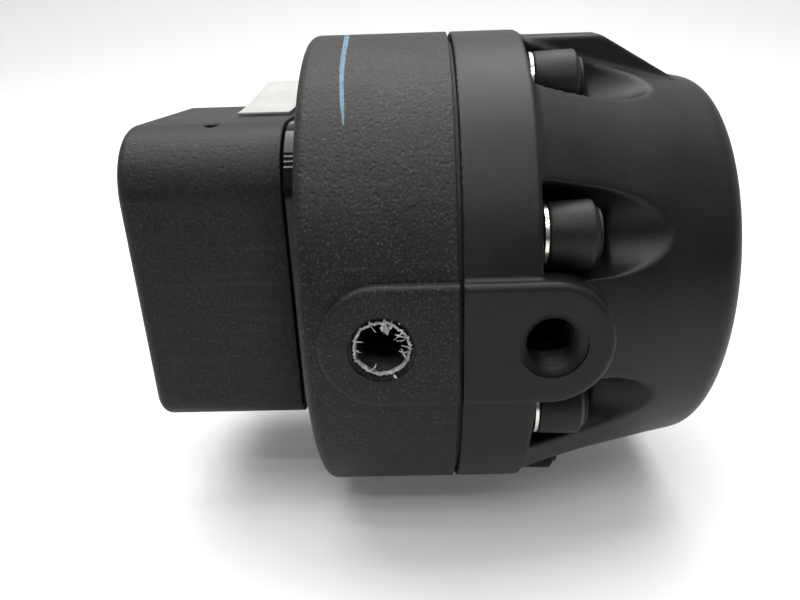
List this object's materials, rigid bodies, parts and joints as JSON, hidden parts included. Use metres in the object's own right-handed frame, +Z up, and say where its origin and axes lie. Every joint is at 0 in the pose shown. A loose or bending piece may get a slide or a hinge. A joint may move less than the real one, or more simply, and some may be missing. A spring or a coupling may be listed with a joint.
{
  "type": "rotary pneumatic actuator",
  "caption": "Single-acting spring-return rotary pneumatic actuator: black plastic diaphragm drum with capped cover bolts and two air ports, joined to a rack gearbox with a square-drive shaft.",
  "frame": {"origin": "centre of the gearbox underside, on the output shaft's axis", "axes": "+X along the drum from gearbox to spring cover, +Z up away from the valve, -Y towards the air ports"},
  "size_m": [0.1549, 0.1328, 0.1316],
  "materials": {
    "casing_plastic": "satin",
    "cover_plastic": "satin",
    "housing_plastic": "matte",
    "gloss_plastic": "gloss",
    "cap_plastic": "satin",
    "diaphragm_rubber": "matte",
    "plain_steel": "satin",
    "spring_steel": "satin",
    "plate_steel": "satin",
    "bright_zinc": "gloss",
    "bronze": "satin",
    "plate_aluminium": "satin",
    "pale_plastic": "satin"
  },
  "bodies": {
    "housing": {"lower_casing": "casing_plastic", "spring_cover": "cover_plastic", "diaphragm": "diaphragm_rubber", "rod_bush": "bronze", "rod_seal": "diaphragm_rubber", "seal_retaining_ring": "plain_steel", "gearbox_housing": "housing_plastic", "neck_frame": "gloss_plastic", "gearbox_screw_1": "plain_steel", "gearbox_screw_2": "plain_steel", "gearbox_screw_3": "plain_steel", "gearbox_screw_4": "plain_steel", "nameplate": "plate_aluminium", "upper_bush": "bronze", "thrust_washer": "pale_plastic", "lower_bush": "bronze", "shaft_seal": "diaphragm_rubber", "bush_retaining_ring": "plain_steel", "rack_support_pad": "pale_plastic", "return_spring_outer": "spring_steel", "return_spring_inner": "spring_steel", "spring_seat": "plate_steel", "cover_bolt_1": "plain_steel", "bolt_washer_1": "bright_zinc", "bolt_cap_1": "cap_plastic", "cover_bolt_2": "plain_steel", "bolt_washer_2": "bright_zinc", "bolt_cap_2": "cap_plastic", "cover_bolt_3": "plain_steel", "bolt_washer_3": "bright_zinc", "bolt_cap_3": "cap_plastic", "cover_bolt_4": "plain_steel", "bolt_washer_4": "bright_zinc", "bolt_cap_4": "cap_plastic", "cover_bolt_5": "plain_steel", "bolt_washer_5": "bright_zinc", "bolt_cap_5": "cap_plastic", "cover_bolt_6": "plain_steel", "bolt_washer_6": "bright_zinc", "bolt_cap_6": "cap_plastic", "cover_bolt_7": "plain_steel", "bolt_washer_7": "bright_zinc", "bolt_cap_7": "cap_plastic", "cover_bolt_8": "plain_steel", "bolt_washer_8": "bright_zinc", "bolt_cap_8": "cap_plastic"},
    "rod": {"rack_rod": "plain_steel", "diaphragm_plate_air_side": "plate_steel", "diaphragm_plate_spring_side": "plate_steel", "rod_washer": "plain_steel", "rod_nut": "plain_steel"},
    "shaft": {"output_shaft": "plain_steel"}
  },
  "joints": [
    {"name": "rod_slide", "type": "slide", "parent": "housing", "child": "rod", "axis": [1, 0, 0], "range_m": [0, 0.01374], "stiffness_N_per_m": 8000, "springref_m": -0.015, "deforming": ["diaphragm", "return_spring_outer", "return_spring_inner"]},
    {"name": "shaft_turn", "type": "hinge", "parent": "housing", "child": "shaft", "pos_m": [0, 0, 0], "axis": [0, 0, -1], "range_deg": [0, 90]}
  ],
  "couplings": [
    {"joint": "shaft_turn", "follows": "rod_slide", "rad_per_m": 114.29}
  ]
}
